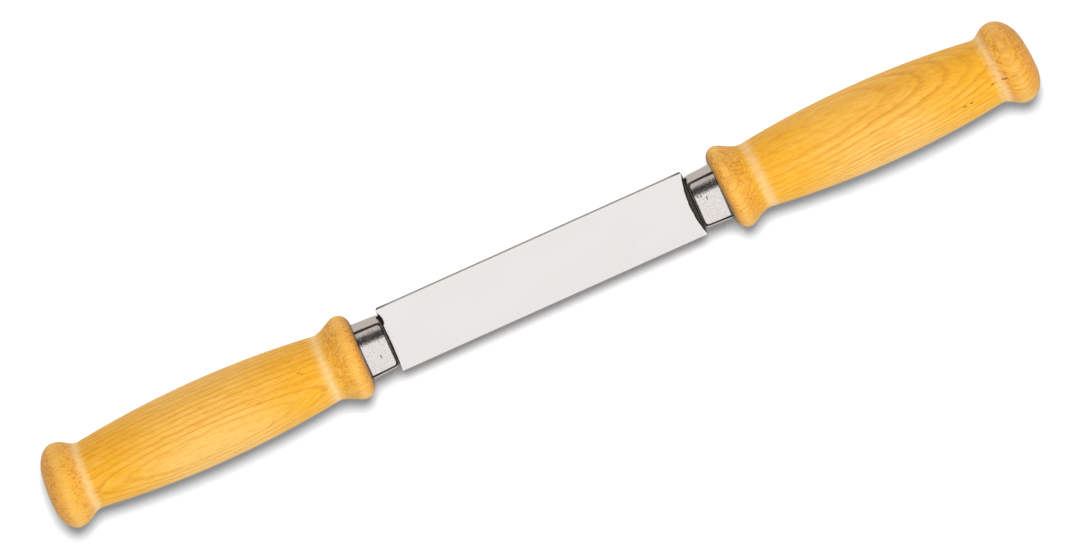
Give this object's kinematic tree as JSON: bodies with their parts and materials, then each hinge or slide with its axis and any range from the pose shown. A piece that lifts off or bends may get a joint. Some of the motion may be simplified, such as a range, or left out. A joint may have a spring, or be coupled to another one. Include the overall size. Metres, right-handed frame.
{
  "type": "drawknife",
  "caption": "Two-handled drawknife with a straight double-bevelled steel blade, oval metal ferrules and barrel-shaped hardwood handles.",
  "frame": {"origin": "middle of the tool's overall length, halfway between the blade's cutting edge and spine, and between its two faces; the left handle is 2.1 mm longer than the right one, so the blade's middle lies at x = +1.05 mm", "axes": "+X along the tool towards the right handle, +Y from the cutting edge to the spine, +Z out of the blade's upper face"},
  "size_m": [0.3634, 0.03, 0.0256],
  "materials": {
    "blade_steel": "fine satin ground, with dark forging scale left on the tangs and blade ends",
    "ferrule_metal": "tumbled, finely pitted",
    "handle_wood": "pale close-grained hardwood under clear lacquer",
    "tang_adhesive": "cast resin"
  },
  "bodies": {
    "root": {"blade": "blade_steel", "left_ferrule": "ferrule_metal", "right_ferrule": "ferrule_metal", "left_handle": "handle_wood", "right_handle": "handle_wood", "left_tang_glue": "tang_adhesive", "right_tang_glue": "tang_adhesive"}
  },
  "joints": []
}
